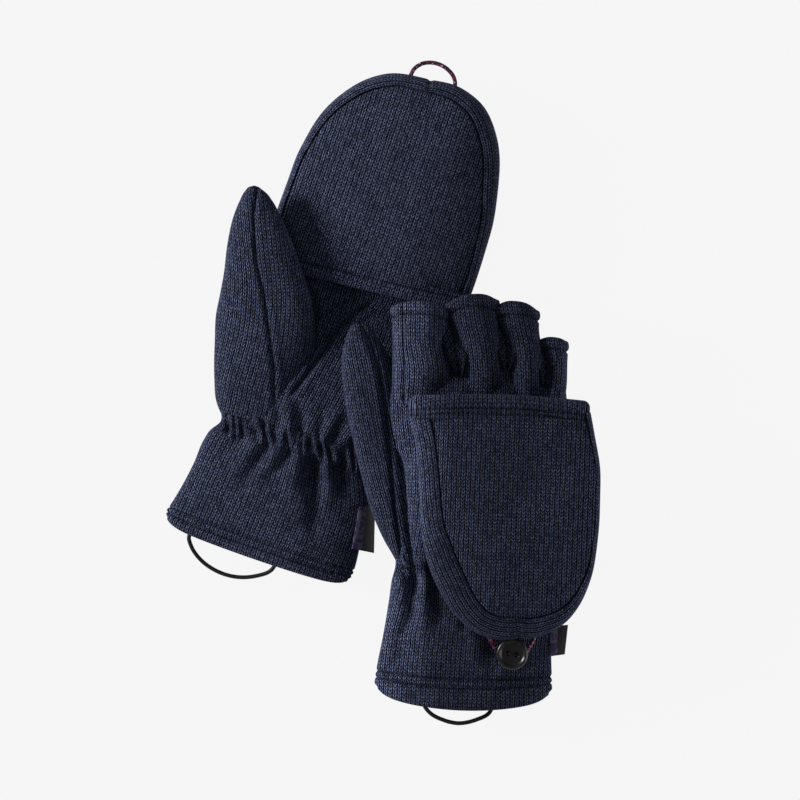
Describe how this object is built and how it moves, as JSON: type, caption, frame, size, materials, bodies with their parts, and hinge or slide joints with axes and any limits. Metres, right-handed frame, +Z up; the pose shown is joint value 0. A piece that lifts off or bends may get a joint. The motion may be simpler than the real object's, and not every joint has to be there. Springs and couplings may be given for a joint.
{
  "type": "convertible flip-top mittens",
  "caption": "Pair of knitted-fleece mittens over fingerless gloves; the left cap is closed, the right cap is folded back and held to its cuff by a cord loop on a button",
  "frame": {"origin": "centre of the pair's footprint on the surface that it lies on, without its cords", "axes": "+Y runs along the mittens towards the fingertips, +X to the wearer's right as they lie, +Z up from the surface"},
  "size_m": [0.2301, 0.3538, 0.0623],
  "materials": {
    "knit_navy": "brushed sweater-knit fleece",
    "knit_navy_band": "brushed sweater-knit fleece, folded and stitched",
    "elastic_black": "braided elastic cord",
    "elastic_grey": "flat elastic",
    "loop_cord": "braided cord with flecks",
    "button_resin": "satin",
    "sewing_thread": "twisted thread",
    "label_weave": "woven"
  },
  "bodies": {
    "left_mitten": {"left_back_panel": "knit_navy", "left_button": "button_resin", "left_button_thread": "sewing_thread", "left_cuff_cord": "elastic_black", "left_cuff_hem": "knit_navy_band", "left_index_hem": "knit_navy_band", "left_index_middle_fourchette": "knit_navy_band", "left_index_sleeve": "knit_navy", "left_little_hem": "knit_navy_band", "left_little_sleeve": "knit_navy", "left_middle_hem": "knit_navy_band", "left_middle_ring_fourchette": "knit_navy_band", "left_middle_sleeve": "knit_navy", "left_palm_panel": "knit_navy", "left_ring_hem": "knit_navy_band", "left_ring_little_fourchette": "knit_navy_band", "left_ring_sleeve": "knit_navy", "left_side_label": "label_weave", "left_thumb_inner_panel": "knit_navy", "left_thumb_outer_panel": "knit_navy", "left_wrist_elastic": "elastic_grey"},
    "left_cap": {"left_cap_back_panel": "knit_navy", "left_cap_hem": "knit_navy_band", "left_cap_loop": "loop_cord", "left_cap_palm_panel": "knit_navy", "left_cap_strip_little_side": "knit_navy_band", "left_cap_strip_thumb_side": "knit_navy_band"},
    "right_mitten": {"right_back_panel": "knit_navy", "right_button": "button_resin", "right_button_thread": "sewing_thread", "right_cuff_cord": "elastic_black", "right_cuff_hem": "knit_navy_band", "right_index_hem": "knit_navy_band", "right_index_middle_fourchette": "knit_navy_band", "right_index_sleeve": "knit_navy", "right_little_hem": "knit_navy_band", "right_little_sleeve": "knit_navy", "right_middle_hem": "knit_navy_band", "right_middle_ring_fourchette": "knit_navy_band", "right_middle_sleeve": "knit_navy", "right_palm_panel": "knit_navy", "right_ring_hem": "knit_navy_band", "right_ring_little_fourchette": "knit_navy_band", "right_ring_sleeve": "knit_navy", "right_side_label": "label_weave", "right_thumb_inner_panel": "knit_navy", "right_thumb_outer_panel": "knit_navy", "right_wrist_elastic": "elastic_grey"},
    "right_cap": {"right_cap_back_panel": "knit_navy", "right_cap_hem": "knit_navy_band", "right_cap_loop": "loop_cord", "right_cap_palm_panel": "knit_navy", "right_cap_strip_little_side": "knit_navy_band", "right_cap_strip_thumb_side": "knit_navy_band"}
  },
  "joints": [
    {"name": "left_cap_flip", "type": "hinge", "parent": "left_mitten", "child": "left_cap", "pos_m": [-0.01291, 0.05681, -0.0003], "axis": [-0.9455, 0.3256, 0], "range_deg": [0, 172], "deforming": ["left_cap_palm_panel", "left_cap_hem", "left_cap_loop"]},
    {"name": "right_mitten_lift", "type": "slide", "parent": "left_mitten", "child": "right_mitten", "axis": [0, 0, 1], "range_m": [0, 0.12]},
    {"name": "right_cap_flip", "type": "hinge", "parent": "right_mitten", "child": "right_cap", "pos_m": [0.06604, -0.00524, 0.04242], "axis": [-0.993, -0.0278, 0.1151], "range_deg": [0, 176], "deforming": ["right_cap_palm_panel", "right_cap_hem", "right_cap_loop", "right_cap_strip_thumb_side", "right_cap_strip_little_side"]}
  ]
}
